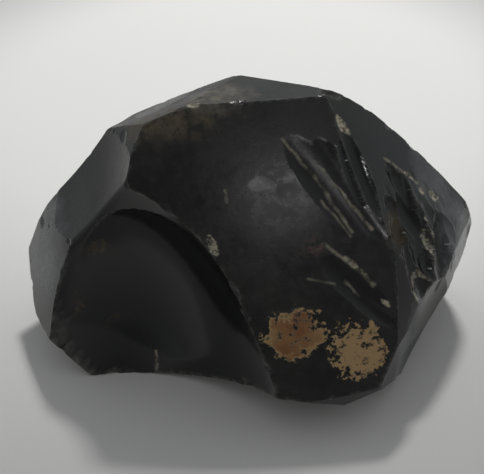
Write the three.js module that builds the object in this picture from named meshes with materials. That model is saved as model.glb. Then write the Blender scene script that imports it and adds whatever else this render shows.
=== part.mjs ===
// A hand-sized lump of black natural glass: one piece, every side of it a broken face.
// Millimetres. X runs along the stone, Y away from the viewer, Z up.
// The stone rests on one broken flat at Z = 0.

import * as THREE from 'three';
import { mergeVertices } from 'three/addons/utils/BufferGeometryUtils.js';

// Glass: black, fresh breaks glossy, older faces worn to satin
const GLASS_COLOUR = 0x1b1c1a;
const GLASS_ROUGHNESS = 0.28;
const GLASS_METALNESS = 0.0;

// Mesh: each of the twenty sides of the starting ball is split this many times along its edge
const SPLITS = 21;
const RIDGE_PASSES = 2;
const HALVINGS = 10;

// Stands for a direction that misses a face altogether
const FAR = 1e6;

// A point deep inside, from which every face of the stone can be seen
const HEART = new THREE.Vector3(-8, 12, 22);

// The starting ball: its middle and its half measures
const MIDDLE = new THREE.Vector3(1.5, 3.9, 25);
const PROPORTIONS = new THREE.Vector3(42, 29, 27);

// How far the middle of the stone's outline lies from the point the faces are measured from
const OFF_CENTRE = new THREE.Vector3(0.62, 3.41, 0);

// Faces
// at: a point on the face.
// faces: [heading, lift] in degrees. Heading 0 looks at the viewer, 90 to the right,
// 180 away, -90 to the left. Lift is the tilt up from level, negative where it overhangs.
// bow: radius of a bulging face, negative for a hollow one, absent for a flat one.
const FACES = [
  { name: 'base', at: [0, 0, 0], faces: [0, -90] },
  { name: 'front', at: [2, -10.4, 38], faces: [2, 34], bow: 220 },
  { name: 'top', at: [2.9, 0.8, 52.7], faces: [-140, 86] },
  { name: 'stained band', at: [-16.6, -0.8, 49.6], faces: [-119, 64], bow: 200 },

  { name: 'left end', at: [-37.5, -1.5, 19.4], faces: [-64, 23.5], bow: 200 },
  { name: 'left shoulder', at: [-37.8, 2.5, 23.7], faces: [-72, 35] },
  { name: 'left foot', at: [-35, -11.4, 7], faces: [-58, -30], bow: 120 },
  { name: 'left underside', at: [-43, 5, 13], faces: [-95, -35] },

  { name: 'underside, front', at: [-7.5, -15.8, 4], faces: [-6, -52], bow: -165 },
  { name: 'underside, right', at: [21.4, -22.9, 7.6], faces: [33, -40] },
  { name: 'front foot', at: [17.3, -25.6, 10.3], faces: [12, -20], bow: 100 },

  { name: 'right, upper', at: [25.4, -0.4, 39.5], faces: [58, 38.5], bow: 300 },
  { name: 'right, middle', at: [29, -12.2, 25], faces: [50, 24], bow: 120 },
  { name: 'right rim', at: [38.8, 0, 26], faces: [62, 6], bow: 300 },
  { name: 'right foot', at: [26.4, -19.6, 14.5], faces: [54.5, -2] },
  { name: 'right tip, upper', at: [42.4, 7, 28.5], faces: [106, 24] },
  { name: 'right tip, lower', at: [41.8, -0.6, 20.8], faces: [74, -10] },
  { name: 'right overhang', at: [33.6, -12.4, 13.4], faces: [67, -20] },

  { name: 'back, left', at: [-44.3, 12.5, 18], faces: [-138, 3], bow: 160 },
  { name: 'back shoulder, left', at: [-31.7, 8.4, 35.8], faces: [-130, 34] },
  { name: 'back', at: [4, 30, 22], faces: [172, 12], bow: 160 },
  { name: 'back, right', at: [40, 22, 18], faces: [130, 2] },
  { name: 'back slope, left', at: [-8.5, 11.8, 50.5], faces: [-156, 42] },
  { name: 'back slope, middle', at: [6.5, 9.6, 51], faces: [156, 44] },
  { name: 'back slope, right', at: [27.7, 8.1, 41.6], faces: [138, 40], bow: 200 },
];

// The great hollow at the front left is the print of two long flakes, and the saddle above it of one more.
// Each is a ball stretched along its grain, its centre out in the open air.
const HOLLOWS = [
  {
    name: 'hollow, upper',
    centre: [-53, -60, 72.4],
    radius: 41.55,
    stretch: 2.26,
    grain: [0.444, 0.428, -0.788],
  },
  {
    name: 'hollow, lower',
    centre: [-22.3, -142.6, -78],
    radius: 51,
    stretch: 3.46,
    grain: [-0.002, 0.761, 0.649],
  },
  {
    name: 'saddle',
    centre: [-99.4, -26.1, 112.4],
    radius: 110.9,
    stretch: 0.61,
    grain: [0.73, 0.31, 0.61],
  },
];

// Hollows that run into each other without a ridge, and over how wide a strip
const MERGES = [
  { one: 'hollow, upper', other: 'hollow, lower', width: 6 },
  { one: 'saddle', other: 'hollow, upper', width: 2 },
];

// Long flakes: where each starts and ends, which way it faces, how wide and how deep it is.
// The first ones run down the right of the front as a fan of flutes.
const FLUTES = [
  { start: [5.6, -2.6, 48.6], end: [21.2, -12.4, 32.8], faces: [6, 35], width: 5.2, depth: 0.26 },
  { start: [10.2, -2.4, 48], end: [22, -11.4, 34.2], faces: [9, 35], width: 4.6, depth: 0.38 },
  { start: [15.4, -2.9, 46.9], end: [19.9, -10, 36.2], faces: [6, 35], width: 3, depth: 0.85 },
  { start: [16.4, -0.6, 50.2], end: [23.2, -10.6, 35], faces: [8, 37], width: 5.4, depth: 1.5 },
  { start: [11.4, -14.2, 31.6], end: [24.6, -18.6, 21.6], faces: [7, 31], width: 5.4, depth: 0.5 },
  { start: [15.5, -16.6, 27], end: [26, -19.6, 19.6], faces: [9, 30], width: 3.6, depth: 0.6 },
  { start: [23, 0, 43], end: [30.8, -3.6, 31.4], faces: [62, 33], width: 4.4, depth: 1.15 },
  { start: [25.4, -4.8, 36.6], end: [27, -11.4, 29.8], faces: [50, 30], width: 4.4, depth: 1 },
  { start: [30, -1.2, 33.6], end: [31.6, -9.6, 25.4], faces: [58, 30], width: 4.8, depth: 1.2 },
  { start: [34.2, 1.2, 30.4], end: [36.4, -5.6, 21.6], faces: [60, 28], width: 4.6, depth: 0.9 },
  { start: [27, -10.6, 29.4], end: [33, -11, 17.6], faces: [52, 20], width: 4.2, depth: 0.9 },
  { start: [33, -10.5, 22], end: [29.8, -12.5, 0], faces: [56, -2], width: 17, depth: 1.6 },
  { start: [39.6, -1.2, 15.5], end: [36, -5.6, 8.5], faces: [58, -8], width: 3.6, depth: 1.1 },
];

// Wide scars on the hidden sides: struck off from the back ridge and from both ends
const BACK_SCARS = [
  { start: [-22, 30, 52], end: [2, 28, -10], faces: [-172, 8], width: 40, depth: 1.9 },
  { start: [36, 19, 48], end: [20, 30, -8], faces: [140, 6], width: 26, depth: 1.3 },
  { start: [-4, 6, 56], end: [30, 24, 36], faces: [156, 44], width: 16, depth: 1.2 },
  { start: [-38, 12, 46], end: [-26, 24, -6], faces: [-138, 3], width: 22, depth: 1.4 },
];

// Unit vector of a heading and a lift
function facing([heading, lift]) {
  const turn = THREE.MathUtils.degToRad(heading);
  const rise = THREE.MathUtils.degToRad(lift);
  return new THREE.Vector3(
    Math.sin(turn) * Math.cos(rise),
    -Math.cos(turn) * Math.cos(rise),
    Math.sin(rise),
  );
}

// Distance from the heart to a flat face along a direction
function flatFace({ at, faces }) {
  const normal = facing(faces);
  const gap = new THREE.Vector3(...at).sub(HEART).dot(normal);
  return (direction) => {
    const towards = direction.dot(normal);
    return towards > 1e-6 ? gap / towards : FAR;
  };
}

// Distance from the heart to a ball along a direction: the far wall of a ball the heart is in,
// the near wall of a ball outside. The ball may be stretched along its grain.
function ballFace({ centre, radius, inside, stretch = 1, grain = [0, 0, 1] }) {
  const along = new THREE.Vector3(...grain).normalize();
  const squeeze = (v) => v.clone().addScaledVector(along, (1 / stretch - 1) * v.dot(along));
  const start = squeeze(HEART.clone().sub(centre));
  const rest = start.lengthSq() - radius * radius;
  return (direction) => {
    const step = squeeze(direction);
    const a = step.lengthSq();
    const b = start.dot(step);
    const discriminant = b * b - a * rest;
    if (discriminant < 0) {
      return FAR;
    }
    const root = (-b + (inside ? 1 : -1) * Math.sqrt(discriminant)) / a;
    return root > 0 ? root : FAR;
  };
}

// A face of the table as a distance function
function brokenFace(face) {
  if (!face.bow) {
    return flatFace(face);
  }
  const centre = new THREE.Vector3(...face.at).addScaledVector(facing(face.faces), -face.bow);
  return ballFace({ centre, radius: Math.abs(face.bow), inside: face.bow > 0 });
}

// The print of a very long flake, a hollow of the table
function hollow({ centre, radius, stretch, grain }) {
  return ballFace({ centre: new THREE.Vector3(...centre), radius, inside: false, stretch, grain });
}

// The print of a long flake, from its start to its end
function flake({ start, end, faces, width, depth }) {
  const normal = facing(faces);
  const radius = (width * width / 4 + depth * depth) / (2 * depth);
  const from = new THREE.Vector3(...start);
  const to = new THREE.Vector3(...end);
  const run = to.clone().sub(from);
  run.addScaledVector(normal, -run.dot(normal));
  const centre = from.lerp(to, 0.5).addScaledVector(normal, radius - depth);
  return ballFace({ centre, radius, inside: false, stretch: run.length() / width, grain: run.toArray() });
}

const surfaces = [
  ...FACES.map(brokenFace),
  ...HOLLOWS.map(hollow),
  ...FLUTES.map(flake),
  ...BACK_SCARS.map(flake),
];
const placeOf = (name) => FACES.length + HOLLOWS.findIndex((each) => each.name === name);
const merges = MERGES.map(({ one, other, width }) => (
  { first: placeOf(one), second: placeOf(other), width }
));

// The hollows run into each other, so together they count as one side of the stone
const sideOf = surfaces.map((surface, index) => (
  index >= FACES.length && index < FACES.length + HOLLOWS.length ? FACES.length : index
));

// The nearest surface along a direction: how far, and which side of the stone it is
function nearest(direction) {
  const reaches = surfaces.map((surface) => surface(direction));
  for (const { first, second, width } of merges) {
    const overlap = Math.max(width - Math.abs(reaches[first] - reaches[second]), 0) / width;
    reaches[first] -= overlap * overlap * width / 4;
    reaches[second] -= overlap * overlap * width / 4;
  }
  const reach = Math.min(...reaches);
  return { reach, face: sideOf[reaches.indexOf(reach)] };
}

// Directions from the heart to points spread evenly over the starting ball,
// drawn out to the stone's own proportions
const ball = new THREE.IcosahedronGeometry(1, SPLITS);
ball.deleteAttribute('normal');
ball.deleteAttribute('uv');
const shape = mergeVertices(ball, 1e-5);
const positions = shape.getAttribute('position');
const directions = [];
for (let i = 0; i < positions.count; i += 1) {
  const point = new THREE.Vector3().fromBufferAttribute(positions, i).multiply(PROPORTIONS).add(MIDDLE);
  directions.push(point.sub(HEART).normalize());
}

// Edges of the mesh, each once, and the triangles round every point
const edges = new Map();
const trianglesOf = directions.map(() => []);
for (let i = 0; i < shape.index.count; i += 3) {
  const triangle = [0, 1, 2].map((k) => shape.index.getX(i + k));
  triangle.forEach((a, k) => {
    const b = triangle[(k + 1) % 3];
    edges.set(`${Math.min(a, b)} ${Math.max(a, b)}`, [a, b]);
    trianglesOf[a].push(triangle);
  });
}

// Share of the way from one direction to another at which the first one's face ends
function crossing(from, to, face) {
  let near = 0;
  let far = 1;
  for (let i = 0; i < HALVINGS; i += 1) {
    const middle = (near + far) / 2;
    if (nearest(from.clone().lerp(to, middle).normalize()).face === face) {
      near = middle;
    } else {
      far = middle;
    }
  }
  return near;
}

// Ridges: where two faces meet between two points of the mesh, the nearer point slides onto the ridge.
// No triangle has all three points slid, so none can be squeezed flat.
const settled = new Set();
const wouldSqueeze = (point) => trianglesOf[point].some(
  (triangle) => triangle.every((corner) => corner === point || settled.has(corner)),
);
for (let pass = 0; pass < RIDGE_PASSES; pass += 1) {
  const faces = directions.map((direction) => nearest(direction).face);
  const slides = [];
  for (const [a, b] of edges.values()) {
    if (faces[a] === faces[b] || settled.has(a) || settled.has(b)) {
      continue;
    }
    const share = crossing(directions[a], directions[b], faces[a]);
    const fromFirst = { point: a, towards: b, share };
    const fromSecond = { point: b, towards: a, share: 1 - share };
    slides.push(share < 0.5 ? fromFirst : fromSecond);
  }
  slides.sort((p, q) => p.share - q.share);
  const targets = new Map();
  for (const { point, towards, share } of slides) {
    if (!settled.has(point) && !settled.has(towards) && !wouldSqueeze(point)) {
      settled.add(point);
      targets.set(point, directions[point].clone().lerp(directions[towards], share).normalize());
    }
  }
  targets.forEach((target, point) => directions[point].copy(target));
}

// Every point goes out to the face it meets first
directions.forEach((direction, i) => {
  const { reach, face } = nearest(direction);
  const point = direction.clone().multiplyScalar(reach).add(HEART).sub(OFF_CENTRE);
  if (FACES[face]?.name === 'base') {
    point.z = 0;
  }
  positions.setXYZ(i, point.x, point.y, point.z);
});
shape.computeVertexNormals();

const glass = new THREE.MeshStandardMaterial({
  color: GLASS_COLOUR,
  roughness: GLASS_ROUGHNESS,
  metalness: GLASS_METALNESS,
});
const stone = new THREE.Mesh(shape, glass);
stone.name = 'tektite';

const group = new THREE.Group();
group.name = 'tektite_lump';
group.add(stone);

export default group;
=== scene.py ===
import math

import bpy
import mathutils
import numpy as np
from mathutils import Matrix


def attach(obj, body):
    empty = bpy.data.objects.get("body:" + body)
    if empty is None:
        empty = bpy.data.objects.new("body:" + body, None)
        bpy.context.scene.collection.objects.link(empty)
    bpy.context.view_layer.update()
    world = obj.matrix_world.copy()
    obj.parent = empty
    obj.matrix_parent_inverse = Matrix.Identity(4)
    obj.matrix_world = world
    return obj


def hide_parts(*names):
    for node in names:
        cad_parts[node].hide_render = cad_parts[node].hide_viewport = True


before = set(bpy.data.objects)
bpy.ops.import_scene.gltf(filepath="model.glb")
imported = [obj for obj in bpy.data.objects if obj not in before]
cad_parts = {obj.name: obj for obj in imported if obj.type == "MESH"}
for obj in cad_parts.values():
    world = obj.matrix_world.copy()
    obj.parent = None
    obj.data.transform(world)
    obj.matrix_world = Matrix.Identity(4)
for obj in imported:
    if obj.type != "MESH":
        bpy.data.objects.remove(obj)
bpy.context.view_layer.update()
MM = 0.001

# The stone
# One solid piece of natural glass, knocked off a larger one and broken again on every side.
# Each side is a fracture: flat, gently bulging, or hollow like the inside of a shell.
# All are measured from the heart, a point deep inside, and the nearest one each way is the surface.
HEART = np.array([-8.0, 12.0, 22.0])

# The mesh's points are spread over an egg of the stone's own middle and half sizes
MIDDLE = np.array([1.5, 3.9, 25.0])
PROPORTIONS = np.array([42.0, 29.0, 27.0])

# How far the finished stone is moved from the breaks' own measure, to stand over the middle of the frame
OFF_CENTRE = np.array([0.62, 3.41, 0.0])

# FAR stands for the distance to a break along a direction that misses it. A direction that runs almost
# along a flat break, by GRAZING or less, misses it.
FAR = 1e6
GRAZING = 1e-6

# at: a point on the break. faces: heading and lift in degrees, with 0 towards the viewer and 90 to the right.
# bow: radius of a bulging break, negative for a hollow one. worn: 0 for a fresh gloss, 1 for a dull old skin.
BREAKS = {
    "base": dict(at=(0, 0, 0), faces=(0, -90), worn=0.8),
    "front": dict(at=(2, -10.4, 38), faces=(2, 34), bow=220, worn=0.55),
    "top": dict(at=(2.9, 0.8, 52.7), faces=(-140, 86), worn=0.75),
    "stained band": dict(at=(-16.6, -0.8, 49.6), faces=(-119, 64), bow=200, worn=0.9),
    "left end": dict(at=(-37.5, -1.5, 19.4), faces=(-64, 23.5), bow=200, worn=0.45),
    "left shoulder": dict(at=(-37.8, 2.5, 23.7), faces=(-72, 35), worn=0.45),
    "left foot": dict(at=(-35, -11.4, 7), faces=(-58, -30), bow=120, worn=0.5),
    "left underside": dict(at=(-43, 5, 13), faces=(-95, -35), worn=0.5),
    "underside, front": dict(at=(-7.5, -15.8, 4), faces=(-6, -52), bow=-165, worn=0.4),
    "underside, right": dict(at=(21.4, -22.9, 7.6), faces=(33, -40), worn=0.4),
    "front foot": dict(at=(17.3, -25.6, 10.3), faces=(12, -20), bow=100, worn=0.4),
    "right, upper": dict(at=(25.4, -0.4, 39.5), faces=(58, 38.5), bow=300, worn=0.3),
    "right, middle": dict(at=(29, -12.2, 25), faces=(50, 24), bow=120, worn=0.3),
    "right rim": dict(at=(38.8, 0, 26), faces=(62, 6), bow=300, worn=0.35),
    "right foot": dict(at=(26.4, -19.6, 14.5), faces=(54.5, -2), worn=0.35),
    "right tip, upper": dict(at=(42.4, 7, 28.5), faces=(106, 24), worn=0.35),
    "right tip, lower": dict(at=(41.8, -0.6, 20.8), faces=(74, -10), worn=0.35),
    "right overhang": dict(at=(33.6, -12.4, 13.4), faces=(67, -20), worn=0.35),
    "back, left": dict(at=(-44.3, 12.5, 18), faces=(-138, 3), bow=160, worn=0.4),
    "back shoulder, left": dict(at=(-31.7, 8.4, 35.8), faces=(-130, 34), worn=0.4),
    "back": dict(at=(4, 30, 22), faces=(172, 12), bow=160, worn=0.5),
    "back, right": dict(at=(40, 22, 18), faces=(130, 2), worn=0.4),
    "back slope, left": dict(at=(-8.5, 11.8, 50.5), faces=(-156, 42), worn=0.5),
    "back slope, middle": dict(at=(6.5, 9.6, 51), faces=(156, 44), worn=0.5),
    "back slope, right": dict(at=(27.7, 8.1, 41.6), faces=(138, 40), bow=200, worn=0.45),
}

# The great hollow at the front left is the print of two long flakes, one running down and one running up,
# and the saddle above it that of a third. Each is part of a ball stretched or squeezed along its grain.
HOLLOWS = {
    "hollow, upper": dict(
        centre=(-53.0, -60.0, 72.4), radius=41.55, stretch=2.26, grain=(0.444, 0.428, -0.788), worn=0.1
    ),
    "hollow, lower": dict(
        centre=(-22.3, -142.6, -78.0), radius=51.0, stretch=3.46, grain=(-0.002, 0.761, 0.649), worn=0.1
    ),
    "saddle": dict(
        centre=(-99.4, -26.1, 112.4), radius=110.9, stretch=0.61, grain=(0.73, 0.31, 0.61), worn=0.45
    ),
}

# Hollows that run into each other without a ridge, and over how many millimetres
MERGES = [
    ("hollow, upper", "hollow, lower", 6.0),
    ("saddle", "hollow, upper", 2.0),
]

# Long flakes: where each starts and ends, which way it faces, how wide and how deep it is.
# A fan of flutes runs down the right of the front, and their meeting edges are sharp. More lie at the
# right end, then come a faint dent in the front and four wide scars on the back, rippled in rings.
FLUTES = [
    dict(start=(5.6, -2.6, 48.6), end=(21.2, -12.4, 32.8), faces=(6, 35), width=5.2, depth=0.26, worn=0.45),
    dict(start=(10.2, -2.4, 48.0), end=(22.0, -11.4, 34.2), faces=(9, 35), width=4.6, depth=0.38, worn=0.35),
    dict(start=(15.4, -2.9, 46.9), end=(19.9, -10.0, 36.2), faces=(6, 35), width=3.0, depth=0.85, worn=0.05),
    dict(start=(16.4, -0.6, 50.2), end=(23.2, -10.6, 35.0), faces=(8, 37), width=5.4, depth=1.5, worn=0.0),
    dict(start=(11.4, -14.2, 31.6), end=(24.6, -18.6, 21.6), faces=(7, 31), width=5.4, depth=0.5, worn=0.35),
    dict(start=(15.5, -16.6, 27.0), end=(26.0, -19.6, 19.6), faces=(9, 30), width=3.6, depth=0.6, worn=0.3),
    dict(start=(23.0, 0.0, 43.0), end=(30.8, -3.6, 31.4), faces=(62, 33), width=4.4, depth=1.15, worn=0.0),
    dict(start=(25.4, -4.8, 36.6), end=(27.0, -11.4, 29.8), faces=(50, 30), width=4.4, depth=1.0, worn=0.05),
    dict(start=(30.0, -1.2, 33.6), end=(31.6, -9.6, 25.4), faces=(58, 30), width=4.8, depth=1.2, worn=0.0),
    dict(start=(34.2, 1.2, 30.4), end=(36.4, -5.6, 21.6), faces=(60, 28), width=4.6, depth=0.9, worn=0.15),
    dict(start=(27.0, -10.6, 29.4), end=(33.0, -11.0, 17.6), faces=(52, 20), width=4.2, depth=0.9, worn=0.1),
    dict(start=(33.0, -10.5, 22.0), end=(29.8, -12.5, 0.0), faces=(56, -2), width=17.0, depth=1.6, worn=0.3),
    dict(start=(39.6, -1.2, 15.5), end=(36.0, -5.6, 8.5), faces=(58, -8), width=3.6, depth=1.1, worn=0.2),
    dict(start=(-3.4, -8.2, 41.4), end=(8.8, -8.8, 40.4), faces=(2, 36), width=6.0, depth=0.12, worn=0.32),
    dict(start=(-22, 30, 52), end=(2, 28, -10), faces=(-172, 8), width=40, depth=1.9, worn=0.2, rings=0.055),
    dict(start=(36, 19, 48), end=(20, 30, -8), faces=(140, 6), width=26, depth=1.3, worn=0.15, rings=0.05),
    dict(start=(-4, 6, 56), end=(30, 24, 36), faces=(156, 44), width=16, depth=1.2, worn=0.2, rings=0.045),
    dict(start=(-38, 12, 46), end=(-26, 24, -6), faces=(-138, 3), width=22, depth=1.4, worn=0.2, rings=0.05),
]

# Knocks on the ridges and flutes, whose glass is crushed to a pale cream that also paints glints: the same
# measures, and how pale
KNOCKS = [
    dict(start=(15.0, -0.4, 50.4), end=(19.2, -2.9, 45.0), faces=(33, 44), width=2.6, depth=0.55, pale=1.0),
    dict(start=(18.9, -9.9, 37.2), end=(22.9, -11.6, 33.6), faces=(14, 36), width=1.7, depth=0.35, pale=0.8),
    dict(start=(23.9, 0.2, 42.2), end=(25.0, 0.1, 40.9), faces=(58, 36), width=1.1, depth=0.25, pale=1.0),
    dict(start=(27.0, 1.1, 39.2), end=(30.6, 2.3, 35.6), faces=(60, 36), width=0.9, depth=0.25, pale=0.7),
    dict(start=(30.9, 1.2, 34.8), end=(32.4, 1.9, 33.4), faces=(58, 38), width=1.3, depth=0.3, pale=0.9),
    dict(start=(33.0, 2.4, 33.4), end=(35.9, 3.8, 30.4), faces=(58, 38), width=2.0, depth=0.4, pale=0.8),
    dict(start=(31.2, -2.6, 31.4), end=(33.2, -1.6, 29.6), faces=(58, 34), width=0.9, depth=0.25, pale=0.8),
    dict(start=(21.5, -17.0, 25.0), end=(24.2, -17.8, 23.0), faces=(9, 32), width=1.3, depth=0.3, pale=0.9),
    dict(start=(15.9, -13.9, 31.2), end=(21.0, -16.1, 26.8), faces=(7, 33), width=1.3, depth=0.3, pale=0.6),
    dict(start=(-6.9, -12.6, 35.0), end=(-5.1, -14.8, 31.8), faces=(-16, 24), width=1.5, depth=0.4, pale=1.0),
    dict(start=(11.8, 3.0, 53.4), end=(18.0, 4.0, 51.8), faces=(40, 66), width=2.8, depth=0.75, pale=0.1),
    dict(start=(14.3, 1.2, 52.8), end=(16.8, 2.4, 51.9), faces=(20, 60), width=1.2, depth=0.3, pale=0.9),
    dict(start=(-10.4, 0.4, 52.4), end=(-7.6, -0.4, 51.8), faces=(-30, 60), width=1.3, depth=0.35, pale=0.8),
    dict(start=(15.7, -3.9, 45.9), end=(16.3, -4.8, 44.5), faces=(7, 36), width=0.9, depth=0.3, pale=0.9),
    dict(start=(17.9, -6.0, 42.5), end=(18.5, -6.9, 41.1), faces=(7, 36), width=1.0, depth=0.3, pale=0.7),
]


def unit(vectors):
    """The same vectors, each one long."""
    return vectors / np.linalg.norm(vectors, axis=-1, keepdims=True)


def facing(heading, lift):
    """Unit vector of a heading and a lift."""
    turn, rise = math.radians(heading), math.radians(lift)
    return np.array([math.sin(turn) * math.cos(rise), -math.cos(turn) * math.cos(rise), math.sin(rise)])


# A break is two functions: how far from the heart it lies along each direction, and which way it faces at
# each point. The rest of its row, the finish, is read further on.
def flat_break(at, normal):
    """A flat break through a point."""
    gap = (np.array(at) - HEART) @ normal

    def reach(directions):
        towards = directions @ normal
        return np.where(towards > GRAZING, gap / np.maximum(towards, GRAZING), FAR)

    def normals(points):
        return np.broadcast_to(normal, points.shape)

    return reach, normals


def ball_break(centre, radius, inside, stretch=1.0, grain=(0, 0, 1)):
    """A bulging or hollow break: the far wall of a ball round the heart, or the near wall of one outside."""
    wall = 1 if inside else -1
    along = np.array(grain) / np.linalg.norm(grain)
    squash = np.eye(3) + (1 / stretch - 1) * np.outer(along, along)
    start = (HEART - centre) @ squash
    rest = start @ start - radius * radius

    def reach(directions):
        step = directions @ squash
        a = (step * step).sum(1)
        b = step @ start
        inner = b * b - a * rest
        root = (-b + wall * np.sqrt(np.maximum(inner, 0))) / a
        return np.where((inner >= 0) & (root > 0), root, FAR)

    def normals(points):
        return unit((points - centre) @ squash @ squash * wall)

    return reach, normals


def broken(at, faces, bow=None, **finish):
    """One of the breaks, flat or bowed."""
    if bow is None:
        return flat_break(at, facing(*faces))
    return ball_break(np.array(at) - bow * facing(*faces), abs(bow), inside=bow > 0)


def hollow(centre, radius, stretch, grain, **finish):
    """One of the hollows: the near wall of a stretched ball outside the stone."""
    return ball_break(np.array(centre), radius, False, stretch, grain)


def flake(start, end, faces, width, depth, **finish):
    """The print of a long flake: the near wall of a ball stretched from its start to its end."""
    start, end, normal = np.array(start, float), np.array(end, float), facing(*faces)
    run = (end - start) - ((end - start) @ normal) * normal
    radius = (width * width / 4 + depth * depth) / (2 * depth)
    centre = (start + end) / 2 + normal * (radius - depth)
    return ball_break(centre, radius, False, np.linalg.norm(run) / width, run)


order = [*BREAKS, *HOLLOWS]
surfaces = [broken(**b) for b in BREAKS.values()] + [hollow(**h) for h in HOLLOWS.values()]
large = len(surfaces)
surfaces += [flake(**f) for f in FLUTES]
plain = len(surfaces)
worn_of = [row["worn"] for row in [*BREAKS.values(), *HOLLOWS.values(), *FLUTES]]
merges = [(order.index(one), order.index(other), width) for one, other, width in MERGES]

# The hollows run into each other, so they count as one side of the stone
side_of = np.arange(plain)
side_of[[order.index(name) for name in HOLLOWS]] = order.index("saddle")


def nearest(directions):
    """How far the surface is along each direction, and which of the surfaces it is."""
    reaches = np.stack([reach(directions) for reach, _ in surfaces])
    # Two hollows that lie within a merge's width of each other both give way, so no ridge is left
    for one, other, width in merges:
        overlap = np.maximum(width - np.abs(reaches[one] - reaches[other]), 0) / width
        reaches[[one, other]] -= overlap * overlap * width / 4
    return reaches.min(0), reaches.argmin(0)


def normal_at(spot, number):
    """Which way a surface faces at a spot."""
    _, normals = surfaces[number]
    return normals(spot[None])[0]


def geodesic(splits):
    """Points and triangles of a ball: a body of twenty like triangles, with each one's edges split."""
    golden = (1 + math.sqrt(5)) / 2
    corners = np.array([
        (-1, golden, 0), (1, golden, 0), (-1, -golden, 0), (1, -golden, 0),
        (0, -1, golden), (0, 1, golden), (0, -1, -golden), (0, 1, -golden),
        (golden, 0, -1), (golden, 0, 1), (-golden, 0, -1), (-golden, 0, 1),
    ])  # fmt: skip
    sides = [
        (0, 11, 5), (0, 5, 1), (0, 1, 7), (0, 7, 10), (0, 10, 11), (1, 5, 9), (5, 11, 4),
        (11, 10, 2), (10, 7, 6), (7, 1, 8), (3, 9, 4), (3, 4, 2), (3, 2, 6), (3, 6, 8),
        (3, 8, 9), (4, 9, 5), (2, 4, 11), (6, 2, 10), (8, 6, 7), (9, 8, 1),
    ]  # fmt: skip
    steps = [(i, j) for i in range(splits + 1) for j in range(splits + 1 - i)]
    number = {step: k for k, step in enumerate(steps)}
    small = [(number[i, j], number[i + 1, j], number[i, j + 1]) for i, j in steps if i + j < splits]
    small += [
        (number[i + 1, j], number[i + 1, j + 1], number[i, j + 1]) for i, j in steps if i + j < splits - 1
    ]
    weights = np.array([(splits - i - j, i, j) for i, j in steps]) / splits
    points = np.concatenate([weights @ corners[list(side)] for side in sides])
    triangles = np.concatenate([np.array(small) + k * len(steps) for k in range(len(sides))])
    _, first, same = np.unique(points.round(6), axis=0, return_index=True, return_inverse=True)
    return unit(points[first]), same.reshape(-1)[triangles]


SPLITS = 99
ball_points, triangles = geodesic(SPLITS)
directions = unit(ball_points * PROPORTIONS + MIDDLE - HEART)
edges = np.sort(np.concatenate([triangles[:, [0, 1]], triangles[:, [1, 2]], triangles[:, [2, 0]]]), axis=1)
edges = np.unique(edges, axis=0)


def crosses(sides):
    """Which edges run from one side of the stone to another."""
    return sides[edges[:, 0]] != sides[edges[:, 1]]


# Tiny flakes have popped off the ridges between the large breaks, wherever the stone was knocked.
# Their lengths and depths are shares of their widths, and CHIP_RARITY makes the wide ones rare.
CHIPS = 130
CHIP_WIDTH = (0.7, 2.4)
CHIP_RARITY = 3
CHIP_LENGTH = (0.6, 1.0)
CHIP_DEPTH = (0.06, 0.16)
CHIP_LEAN = 0.15
CHIP_WORN = 0.2
SEED = 7
random = np.random.default_rng(SEED)


def small_flake(spot, lean, run, width, lengths, depths):
    """A small flake popped off at a spot, facing the way it leans, with its length and depth drawn."""
    half = unit(run - (run @ lean) * lean) * width * random.uniform(*lengths)
    faces = math.degrees(math.atan2(lean[0], -lean[1])), math.degrees(math.asin(lean[2]))
    return flake(spot - half, spot + half, faces, width, width * random.uniform(*depths))


_, meets = nearest(directions)
ridge = edges[crosses(side_of[meets]) & (meets[edges] < large).all(1)]
chips = []
for a, b in ridge[random.choice(len(ridge), CHIPS, replace=False)]:
    reach, _ = nearest(directions[[a]])
    spot = HEART + directions[a] * reach[0]
    lean = unit(normal_at(spot, meets[a]) + normal_at(spot, meets[b]))
    lean = unit(lean + CHIP_LEAN * random.normal(size=3))
    width = CHIP_WIDTH[0] + (CHIP_WIDTH[1] - CHIP_WIDTH[0]) * random.random() ** CHIP_RARITY
    run = random.normal(size=3)
    chips.append(small_flake(spot, lean, run, width, CHIP_LENGTH, CHIP_DEPTH))

# The right side is splintered: small long flakes lie over each other there like scales, a few of them crushed
SPLINTERS = 60
SPLINTER_ZONE = np.array([(24.0, -12.0, 19.0), (38.0, 4.0, 37.0)])
SPLINTER_RUN = np.array([0.35, -0.35, -0.87])
SPLINTER_STRAY = 0.25
SPLINTER_LEAN = 0.12
SPLINTER_WIDTH = (0.8, 2.2)
SPLINTER_LENGTH = (0.8, 1.7)
SPLINTER_DEPTH = (0.05, 0.12)
CRUSHED_SHARE = 0.1
SPLINTER_CRUSH = (0.3, 0.7)
for target in random.uniform(*SPLINTER_ZONE, (SPLINTERS, 3)):
    way = unit(target - HEART)
    reach, meets = nearest(way[None])
    spot = HEART + way * reach[0]
    lean = unit(normal_at(spot, meets[0]) + SPLINTER_LEAN * random.normal(size=3))
    width = random.uniform(*SPLINTER_WIDTH)
    run = SPLINTER_RUN + SPLINTER_STRAY * random.normal(size=3)
    chips.append(small_flake(spot, lean, run, width, SPLINTER_LENGTH, SPLINTER_DEPTH))
is_crushed = random.random(SPLINTERS) < CRUSHED_SHARE
splinter_crush = np.where(is_crushed, random.uniform(*SPLINTER_CRUSH, SPLINTERS), 0.0)

surfaces += chips + [flake(**k) for k in KNOCKS]
worn_of += [CHIP_WORN] * (len(chips) + len(KNOCKS))
side_of = np.concatenate([side_of, np.arange(plain, len(surfaces))])
# How pale each surface is: crushed glass, and on the knocks painted glints as well
crush_and_glint_of = np.array([0.0] * (plain + CHIPS) + [*splinter_crush] + [k["pale"] for k in KNOCKS])

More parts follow.
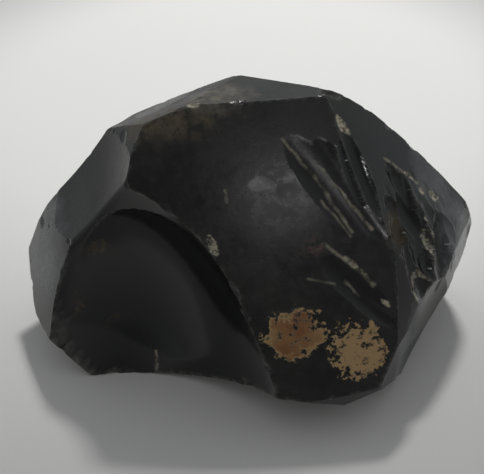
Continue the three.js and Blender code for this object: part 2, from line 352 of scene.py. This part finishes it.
# Ridges: where two sides meet between two points of the mesh, the ridge between them is found by halving,
# and the nearer point slides onto it. No triangle has all three points slid, so none is squeezed flat.
HALVINGS = 12
RIDGE_PASSES = 2
around = [[] for _ in directions]
for number, triangle in enumerate(triangles):
    for corner in triangle:
        around[corner].append(number)
settled = np.zeros(len(directions), bool)
for _ in range(RIDGE_PASSES):
    sides = side_of[nearest(directions)[1]]
    crossed = edges[crosses(sides) & ~settled[edges].any(1)]
    near, far = np.zeros(len(crossed)), np.ones(len(crossed))
    start, end = directions[crossed[:, 0]], directions[crossed[:, 1]]
    for _ in range(HALVINGS):
        middle = (near + far) / 2
        found = side_of[nearest(unit(start + (end - start) * middle[:, None]))[1]]
        same = found == sides[crossed[:, 0]]
        near, far = np.where(same, middle, near), np.where(same, far, middle)
    share = np.minimum(near, 1 - near)
    for k in np.argsort(share, kind="stable"):
        point, other = crossed[k] if near[k] < 0.5 else crossed[k][::-1]
        if settled[point] or settled[other]:
            continue
        if any(settled[triangles[t]].sum() == 2 for t in around[point]):
            continue
        settled[point] = True
        directions[point] = unit(start[k] + (end[k] - start[k]) * near[k])

# Faint ripples spread over a break from where the blow fell: the break, the blow, and the rings' height.
# The rings lie wider apart the further they run. They wander a little, and swell and fade.
RIPPLES = [
    ("back", (12, 26, 50), 0.055),
    ("back, right", (44, 10, 34), 0.045),
    ("back, left", (-38, 8, 40), 0.045),
    ("back slope, left", (-6, 4, 54), 0.035),
    ("back slope, middle", (8, 4, 54), 0.035),
    ("back slope, right", (20, 2, 52), 0.04),
    ("right foot", (34, -10, 24), 0.035),
    ("left end", (-34, -6, 34), 0.02),
    ("underside, front", (-24, -14, 0), 0.03),
]
RING_SPACING = 3.6
RING_WIDENING = 0.9
WANDER, WANDER_LENGTH = 1.6, 8
SWELL, SWELL_LENGTH, SWELL_START = 0.4, 6, 90


def ripple(away, height):
    """What rings of this height take off the reach, so far away from the blow: nothing at a crest."""
    swell = 1 - SWELL + SWELL * np.sin(away / SWELL_LENGTH + height * SWELL_START)
    ring = 2 * math.pi * away**RING_WIDENING / RING_SPACING + WANDER * np.sin(away / WANDER_LENGTH)
    return height * swell * (np.sin(ring) - 1)


reach, meets = nearest(directions)
blows = [(order.index(name), blow, height) for name, blow, height in RIPPLES]
blows += [(large + k, f["start"], f["rings"]) for k, f in enumerate(FLUTES) if "rings" in f]
for number, blow, height in blows:
    on = meets == number
    away = np.linalg.norm(HEART + directions[on] * reach[on, None] - blow, axis=1)
    reach[on] += ripple(away, height)
points = HEART + directions * reach[:, None] - OFF_CENTRE
points[meets == order.index("base"), 2] = 0.0

SHARP_ANGLE = 13
mesh = bpy.data.meshes.new("stone")
mesh.from_pydata(points * MM, [], triangles)
mesh.validate()
mesh.shade_smooth()
mesh.set_sharp_from_angle(angle=math.radians(SHARP_ANGLE))
stone = bpy.data.objects.new("stone", mesh)
bpy.context.scene.collection.objects.link(stone)

# Convex ridges are rubbed pale, partly a painted highlight along the edge, from where the surface falls away
# by RUB_START, and fully by RUB_FULL
RUB_START = 0.2
RUB_FULL = 0.55
corner_a, corner_b, corner_c = (points[triangles[:, corner]] for corner in range(3))
side_normals = unit(np.cross(corner_b - corner_a, corner_c - corner_a))
point_normals = np.zeros_like(points)
for corner in range(3):
    np.add.at(point_normals, triangles[:, corner], side_normals)
point_normals = unit(point_normals)
falls_away = np.zeros(len(points))
for a, b in ((0, 1), (1, 0)):
    step = points[edges[:, b]] - points[edges[:, a]]
    fall = -(step * point_normals[edges[:, a]]).sum(1) / np.linalg.norm(step, axis=1)
    np.maximum.at(falls_away, edges[:, a], fall)
rubbed_and_highlit = np.clip((falls_away - RUB_START) / (RUB_FULL - RUB_START), 0, 1)


def point_mask(name, values):
    """A value at every point of the stone that its glass can read."""
    layer = mesh.attributes.new(name, "FLOAT", "POINT")
    layer.data.foreach_set("value", np.asarray(values, np.float32))


point_mask("rubbed_and_highlit", rubbed_and_highlit)
point_mask("worn", np.array(worn_of)[meets])
point_mask("crushed_and_glinting", crush_and_glint_of[meets])


# The stone's glass
# Black natural glass: glossy where freshly broken, dulled to satin and dusted on the old skin.
# It is stained brown along the top and rusty in two patches at the front. Olive light is painted where it is
# thin at the right, a painted reflection of the table lies pale grey on both ends, and cream marks crushed
# glass and painted glints.
def plug(tree, value, socket):
    """Sets a socket, or links another node's output to it."""
    if isinstance(value, bpy.types.NodeSocket):
        tree.links.new(value, socket)
    else:
        socket.default_value = value


def add(tree, kind, *inputs, **named):
    """A new node: its inputs in their order or by a capitalised name, its settings by a lower-case name."""
    node = tree.nodes.new("ShaderNode" + kind)
    for name, value in named.items():
        if name[0].islower():
            setattr(node, name, value)
    for number, value in enumerate(inputs):
        plug(tree, value, node.inputs[number])
    for name, value in named.items():
        if name[0].isupper():
            plug(tree, value, node.inputs[name.replace("_", " ")])
    return node


def maths(tree, operation, a, b, clamp=False):
    """The result of a sum of two numbers."""
    return add(tree, "Math", a, b, operation=operation, use_clamp=clamp).outputs[0]


def times(tree, a, b, clamp=False):
    """Two shares multiplied."""
    return maths(tree, "MULTIPLY", a, b, clamp)


def vectors(tree, operation, *inputs, **named):
    """The result of a sum of vectors, itself a vector or a number."""
    node = add(tree, "VectorMath", *inputs, operation=operation, **named)
    return node.outputs["Value" if operation in ("LENGTH", "DISTANCE", "DOT_PRODUCT") else "Vector"]


# A Mix node has sockets for every kind of value; these are the ones for colours
COLOUR_UNDER, COLOUR_OVER, COLOUR_OUT = 6, 7, 2


def blend(tree, share, under, over):
    """One colour laid over another, as far as the share says."""
    node = add(tree, "Mix", data_type="RGBA", Factor=share)
    for number, colour in ((COLOUR_UNDER, under), (COLOUR_OVER, over)):
        plug(tree, (*colour, 1.0) if isinstance(colour, tuple) else colour, node.inputs[number])
    return node.outputs[COLOUR_OUT]


def spread(tree, value, between, onto=(0.0, 1.0)):
    """A value between two ends, spread onto two others and held there beyond them."""
    named = dict(From_Min=between[0], From_Max=between[1], To_Min=onto[0], To_Max=onto[1])
    return add(tree, "MapRange", clamp=True, Value=value, **named).outputs[0]


def cloud(tree, place, size, detail, rough=0.55):
    """Cloudy noise, its lumps about size millimetres wide."""
    noise = add(tree, "TexNoise", Vector=place, Scale=1 / (size * MM), Detail=detail, Roughness=rough)
    return noise.outputs["Fac"]


def new_group(name, inputs, output):
    """An empty node group, with what it is given and the socket that it puts out."""
    group = bpy.data.node_groups.new(name, "ShaderNodeTree")
    for socket, kind in inputs.items():
        group.interface.new_socket(socket, in_out="INPUT", socket_type="NodeSocket" + kind)
    group.interface.new_socket(output, in_out="OUTPUT", socket_type="NodeSocketFloat")
    given = group.nodes.new("NodeGroupInput").outputs
    return group, given, group.nodes.new("NodeGroupOutput").inputs[output]


def patch_group():
    """How deep inside a ragged patch a point lies: 0 at its outline and 1 at its middle."""
    inputs = {"Centre": "Vector", "Reach": "Vector", "Raggedness": "Float", "Lumps": "Float"}
    group, given, depth = new_group("ragged patch", inputs, "Depth")
    place = add(group, "TexCoord").outputs["Object"]
    offset = vectors(group, "DIVIDE", vectors(group, "SUBTRACT", place, given["Centre"]), given["Reach"])
    lumps = add(group, "TexNoise", Vector=place, Scale=given["Lumps"], Detail=4.0, Roughness=0.65)
    ragged = times(group, maths(group, "SUBTRACT", lumps.outputs["Fac"], 0.5), given["Raggedness"])
    inward = maths(group, "SUBTRACT", 1.0, vectors(group, "LENGTH", offset))
    plug(group, maths(group, "ADD", inward, ragged), depth)
    return group


def thread_group(wander=1.2 * MM, bends=260.0):
    """A thin wandering line from a start along a run: 1 at its middle and 0 at its edge."""
    inputs = {"Start": "Vector", "Run": "Vector", "Width": "Float"}
    group, given, share = new_group("pale thread", inputs, "Share")
    place = add(group, "TexCoord").outputs["Object"]
    noise = add(group, "TexNoise", Vector=place, Scale=bends, Detail=3.0).outputs["Color"]
    shifted = vectors(group, "MULTIPLY_ADD", noise, (wander,) * 3, place)
    offset = vectors(group, "SUBTRACT", shifted, given["Start"])
    ahead = vectors(group, "DOT_PRODUCT", offset, given["Run"])
    whole = vectors(group, "DOT_PRODUCT", given["Run"], given["Run"])
    along = maths(group, "DIVIDE", ahead, whole, clamp=True)
    off = vectors(group, "DISTANCE", offset, vectors(group, "SCALE", given["Run"], Scale=along))
    near = maths(group, "SUBTRACT", 1.0, maths(group, "DIVIDE", off, given["Width"]), clamp=True)
    plug(group, near, share)
    return group


PATCH = patch_group()
THREAD = thread_group()


def placed(point):
    """A point measured as the breaks are, in metres on the finished stone."""
    return [(c - off) * MM for c, off in zip(point, OFF_CENTRE)]


def ragged_patch(tree, centre, reach, raggedness, lumps):
    """How deep inside a patch each point lies. Its reach along each axis and its lumps are in millimetres."""
    reach = [r * MM for r in reach]
    named = dict(Centre=placed(centre), Reach=reach, Raggedness=raggedness, Lumps=1 / (lumps * MM))
    return add(tree, "Group", node_tree=PATCH, **named).outputs["Depth"]


def cover(tree, depth, full_at, mottle, between, onto=(0.0, 1.0)):
    """How much a patch covers: from nothing at its outline to all at a depth, and mottled by a noise."""
    return times(tree, spread(tree, depth, (0.0, full_at)), spread(tree, mottle, between, onto))


glass = bpy.data.materials.new("black natural glass")
glass.use_nodes = True
tree = glass.node_tree
tree.nodes.clear()
place = add(tree, "TexCoord").outputs["Object"]
worn = add(tree, "Attribute", attribute_name="worn").outputs["Fac"]
ridge_rub_and_highlight = add(tree, "Attribute", attribute_name="rubbed_and_highlit").outputs["Fac"]
crushed_and_glinting = add(tree, "Attribute", attribute_name="crushed_and_glinting").outputs["Fac"]
broad = cloud(tree, place, size=9, detail=4)
fine = cloud(tree, place, size=1.6, detail=5, rough=0.65)
specks = cloud(tree, place, size=0.5, detail=3, rough=0.6)

# Fresh black glass, the duller skin of the worn breaks, and a haze of fine dust on the most worn ones
FRESH = (0.0045, 0.0052, 0.0048)
SKIN = (0.0190, 0.0195, 0.0165)
HAZE = (0.034, 0.035, 0.032)
HAZE_SHARE = 0.5
skin = times(tree, worn, spread(tree, broad, (0.32, 0.62), (0.45, 1.15)))
dusty = times(tree, spread(tree, worn, (0.35, 0.8)), spread(tree, fine, (0.5, 0.75)))
colour = blend(tree, skin, FRESH, SKIN)
colour = blend(tree, times(tree, dusty, HAZE_SHARE), colour, HAZE)

# Brown dust along the band at the top left
DUST = (0.105, 0.078, 0.047)
band = ragged_patch(tree, centre=(-16.0, -0.6, 49.5), reach=(13, 5, 5), raggedness=1.1, lumps=3.0)
band_share = cover(tree, band, full_at=0.55, mottle=fine, between=(0.36, 0.6), onto=(0.15, 0.85))
colour = blend(tree, band_share, colour, DUST)

# Paler dust at the left of the top
TOP_DUST = (0.160, 0.137, 0.105)
top_patch = ragged_patch(tree, centre=(-5.5, 3.5, 52.4), reach=(8, 6, 4), raggedness=1.2, lumps=2.2)
top_share = cover(tree, top_patch, full_at=0.6, mottle=fine, between=(0.38, 0.6), onto=(0.2, 0.9))
colour = blend(tree, top_share, colour, TOP_DUST)

# Painted reflection of the pale table, a pale grey over the left end, the right rim and the right foot:
# centre, reach and colour
TABLE_REFLECTIONS = [
    ((-40.1, 2.0, 21.0), (9, 14, 12), (0.105, 0.115, 0.118)),
    ((40.4, 2.0, 25.5), (6, 8, 13), (0.150, 0.162, 0.166)),
    ((28.9, -13.0, 12.0), (7, 8, 10), (0.160, 0.165, 0.165)),
    ((34.4, 6.0, 35.0), (7, 8, 8), (0.105, 0.112, 0.112)),
    ((24.4, -18.0, 4.0), (12, 6, 5), (0.140, 0.143, 0.140)),
]
for centre, reach, reflection_colour in TABLE_REFLECTIONS:
    reflection_patch = ragged_patch(tree, centre, reach, raggedness=0.9, lumps=5.0)
    share = cover(tree, reflection_patch, full_at=0.5, mottle=broad, between=(0.38, 0.62), onto=(0.35, 1.0))
    colour = blend(tree, share, colour, reflection_colour)

# Small brown blotches in the great hollow and a pinkish pit in the middle of the front
BLOTCH = (0.060, 0.040, 0.019)
PIT = (0.110, 0.062, 0.050)
BLOTCHES = [
    ((-26.9, -5.0, 25.7), (3.4, 4, 2.2), BLOTCH),
    ((-31.5, -8.1, 14.6), (1.6, 3, 2.6), BLOTCH),
    ((-24.9, -8.8, 10.7), (2.8, 3, 1.8), BLOTCH),
    ((-19.3, -10.5, 8.0), (2.2, 3, 2.4), BLOTCH),
    ((10.9, -13.4, 32.5), (2.2, 2.5, 1.9), PIT),
]
for centre, reach, stain in BLOTCHES:
    blotch = ragged_patch(tree, centre, reach, raggedness=1.9, lumps=1.3)
    share = cover(tree, blotch, full_at=0.5, mottle=fine, between=(0.42, 0.6), onto=(0.0, 0.9))
    colour = blend(tree, share, colour, stain)

# Two rusty patches, darker inside with a ragged ochre rim, and with gaps where the black glass shows
OCHRE = (0.400, 0.270, 0.125)
RUST = (0.215, 0.088, 0.032)
TAN = (0.420, 0.265, 0.135)
left_rust = ragged_patch(tree, centre=(8.3, -21.0, 19.9), reach=(5.4, 5, 4.2), raggedness=2.1, lumps=2.2)
right_rust = ragged_patch(tree, centre=(18.9, -21.8, 16.9), reach=(4.6, 5, 4.7), raggedness=2.5, lumps=1.7)
rusty = 0.0
for depth, inner in ((left_rust, RUST), (right_rust, TAN)):
    rim = cover(tree, depth, full_at=0.10, mottle=fine, between=(0.40, 0.47))
    core = times(tree, spread(tree, depth, (0.12, 0.32)), spread(tree, broad, (0.38, 0.58), (0.45, 1.0)))
    colour = blend(tree, rim, colour, OCHRE)
    colour = blend(tree, times(tree, rim, core), colour, inner)
    rusty = maths(tree, "MAXIMUM", rusty, rim)

# Painted olive light, where light would get through the thin flutes at the right
PAINTED_OLIVE_LIGHT = (0.085, 0.056, 0.022)
OLIVE_LIGHT_SHARE = 0.75
olive_light_patch = ragged_patch(tree, centre=(25.9, -8.6, 33.0), reach=(4.2, 5, 5.5), raggedness=1.0, lumps=3.0)
colour = blend(tree, times(tree, spread(tree, olive_light_patch, (0.1, 0.7)), OLIVE_LIGHT_SHARE), colour, PAINTED_OLIVE_LIGHT)

# Crushed glass in the knocks is cream and speckled, and the same cream paints the glints where light catches
# them
CREAM_AND_HIGHLIGHT = (0.50, 0.45, 0.33)
crumbs_and_glints = times(tree, crushed_and_glinting, spread(tree, specks, (0.36, 0.54), (0.2, 1.0)))
crumbs_and_glints = times(tree, crumbs_and_glints, spread(tree, fine, (0.40, 0.52), (0.05, 1.0)))
colour = blend(tree, crumbs_and_glints, colour, CREAM_AND_HIGHLIGHT)

# Thin pale threads where the flutes meet, and short bright scratches, partly painted highlights on the
# ridges: start, end, width and strength.
# Along a thread its strength changes from FAINT to STRONG times that. Its wander draws it a little to one
# side, and THREAD_SHIFT makes up for that.
THREADS_AND_GLINTS = [
    ((5.8, -3.3, 47.7), (12.0, -6.9, 41.0), 0.42, 0.35),
    ((12.0, -6.9, 41.0), (17.6, -11.2, 34.6), 0.50, 0.45),
    ((11.3, -5.1, 44.0), (16.3, -7.6, 39.3), 0.40, 0.35),
    ((16.3, -7.6, 39.3), (20.8, -10.6, 34.6), 0.50, 0.40),
    ((12.3, -8.7, 39.0), (17.4, -11.8, 34.0), 0.35, 0.25),
    ((23.9, 0.5, 41.7), (30.8, 2.5, 35.5), 0.45, 0.45),
    ((12.8, -12.9, 33.1), (16.2, -13.9, 31.0), 0.45, 0.40),
    ((16.2, -13.9, 31.0), (21.4, -15.9, 26.6), 0.55, 0.50),
    ((10.3, -16.1, 28.3), (14.6, -16.1, 27.2), 0.35, 0.25),
    ((16.4, -15.4, 27.2), (19.0, -16.5, 24.9), 0.35, 0.30),
    ((-17.3, -9.1, 4.8), (-17.4, -10.4, 1.4), 0.45, 0.45),
    ((-3.9, -8.5, 40.9), (-3.4, -9.5, 39.5), 0.40, 0.45),
]
THREAD_SHIFT = 0.5
FAINT, STRONG = 0.2, 1.6
for start, end, width, strength in THREADS_AND_GLINTS:
    run = [(e - s) * MM for s, e in zip(start, end)]
    named = dict(Start=placed(np.add(start, THREAD_SHIFT)), Run=run, Width=width * MM)
    line = add(tree, "Group", node_tree=THREAD, **named).outputs["Share"]
    mottle = spread(tree, fine, (0.38, 0.62), (FAINT * strength, STRONG * strength))
    colour = blend(tree, times(tree, line, mottle, clamp=True), colour, CREAM_AND_HIGHLIGHT)

# Rubbed ridges are a pale thread, partly a painted highlight along the edge
RUBBED_AND_HIGHLIT = (0.150, 0.150, 0.132)
rub_and_highlight = times(tree, ridge_rub_and_highlight, spread(tree, fine, (0.42, 0.7), (0.1, 0.9)))
colour = blend(tree, rub_and_highlight, colour, RUBBED_AND_HIGHLIT)

# Glossy when fresh and satin when worn, a little uneven, and rough where it is stained or crushed
FRESH_ROUGH, WORN_ROUGH = 0.13, 0.42
UNEVEN = (-0.04, 0.06)
RUST_ROUGH, DUST_ROUGH, CRUMB_ROUGH = 0.85, 0.7, 0.6
roughness = spread(tree, skin, (0.0, 1.0), (FRESH_ROUGH, WORN_ROUGH))
roughness = maths(tree, "ADD", roughness, spread(tree, fine, (0.35, 0.7), UNEVEN))
for share, rough in ((rusty, RUST_ROUGH), (band_share, DUST_ROUGH), (crumbs_and_glints, CRUMB_ROUGH)):
    roughness = maths(tree, "MAXIMUM", roughness, times(tree, share, rough))

# A fine grain on the worn skin, and the low crust of the rust
SPECK_HEIGHT = 0.35
SMOOTH_GRAIN, WORN_GRAIN = 0.03, 0.4
CRUST_HEIGHT = 0.25 * MM
CRUST_STRENGTH = 0.35
grain = maths(tree, "ADD", fine, times(tree, specks, SPECK_HEIGHT))
grain = times(tree, grain, spread(tree, skin, (0.1, 0.9), (SMOOTH_GRAIN, WORN_GRAIN)))
crust = times(tree, rusty, maths(tree, "ADD", fine, specks))
relief = maths(tree, "ADD", grain, crust)
bump = add(tree, "Bump", Strength=CRUST_STRENGTH, Distance=CRUST_HEIGHT, Height=relief)

GLASS_IOR = 1.5
named = dict(Base_Color=colour, Roughness=roughness, IOR=GLASS_IOR, Normal=bump.outputs[0])
shader = add(tree, "BsdfPrincipled", **named)
plug(tree, shader.outputs[0], add(tree, "OutputMaterial").inputs["Surface"])
mesh.materials.append(glass)

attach(stone, "root")
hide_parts("tektite")

# The table
# A plain pale table top, wide enough to reach past the picture on every side.
# The stone lies on it with its flat base, at height 0.
TABLE_WIDTH = 4.0
TABLE_COLOUR = (0.72, 0.715, 0.69, 1.0)
TABLE_ROUGH = 0.75
bpy.ops.mesh.primitive_plane_add(size=TABLE_WIDTH)
table = bpy.context.object
table.name = "table"
paint = bpy.data.materials.new("pale table top")
paint.use_nodes = True
top = paint.node_tree.nodes["Principled BSDF"]
top.inputs["Base Color"].default_value = TABLE_COLOUR
top.inputs["Roughness"].default_value = TABLE_ROUGH
table.data.materials.append(paint)

# Light and camera
# A soft lamp behind and above lights the table and throws the stone's shadow towards the viewer.
# A narrow one above the viewer lights only the front of the stone, and the sky is dim on that side.
# The camera looks down on the stone from the photograph's own angle. Places here are in metres.

# The sky is DIM towards the viewer and BRIGHT elsewhere, by the cosine of the angle between
TO_VIEWER = (0.0, -0.92, 0.39)
DIM_WITHIN, BRIGHT_BEYOND = 0.94, 0.68
DIM = (0.13, 0.13, 0.13)
BRIGHT = (0.36, 0.37, 0.38)
world = bpy.data.worlds.new("room")
bpy.context.scene.world = world
world.use_nodes = True
room = world.node_tree
way = add(room, "TexCoord").outputs["Generated"]
to_viewer = vectors(room, "DOT_PRODUCT", way, TO_VIEWER)
bright_share = spread(room, to_viewer, (DIM_WITHIN, BRIGHT_BEYOND))
sky = room.nodes["Background"]
plug(room, blend(room, bright_share, DIM, BRIGHT), sky.inputs["Color"])
sky.inputs["Strength"].default_value = 1.0


def hang_lamp(name, place, aim, power, softness, cone, fade):
    """A round lamp in its place, aimed at a point; its cone is in degrees."""
    light = bpy.data.lights.new(name, "SPOT")
    light.energy = power
    light.shadow_soft_size = softness
    light.spot_size = math.radians(cone)
    light.spot_blend = fade
    lamp = bpy.data.objects.new(name, light)
    lamp.location = place
    lamp.rotation_euler = (lamp.location - mathutils.Vector(aim)).to_track_quat("Z", "Y").to_euler()
    bpy.context.scene.collection.objects.link(lamp)


POOL = (0.0, 0.123, 0.0)
STONE_TOP = (0.004, -0.010, 0.034)
hang_lamp("window", (0.07, 0.40, 0.66), POOL, power=16, softness=0.06, cone=23, fade=0.3)
hang_lamp("ceiling lamp", (0.17, -0.96, 0.75), STONE_TOP, power=2.7, softness=0.045, cone=3.9, fade=0.6)

LENS, SENSOR = 60.0, 36.0
NEAR_CLIP = 0.01
AIM = (np.array([-1.0, 0.0, 25.0]) - OFF_CENTRE) * MM
ELEVATION = math.radians(36)
DISTANCE = 0.150
camera_data = bpy.data.cameras.new("camera")
camera_data.lens = LENS
camera_data.sensor_width = SENSOR
camera_data.clip_start = NEAR_CLIP
camera = bpy.data.objects.new("camera", camera_data)
camera.location = AIM + DISTANCE * np.array([0, -math.cos(ELEVATION), math.sin(ELEVATION)])
camera.rotation_euler = (math.pi / 2 - ELEVATION, 0, 0)
bpy.context.scene.collection.objects.link(camera)
bpy.context.scene.camera = camera
bpy.context.scene.view_settings.view_transform = "Standard"
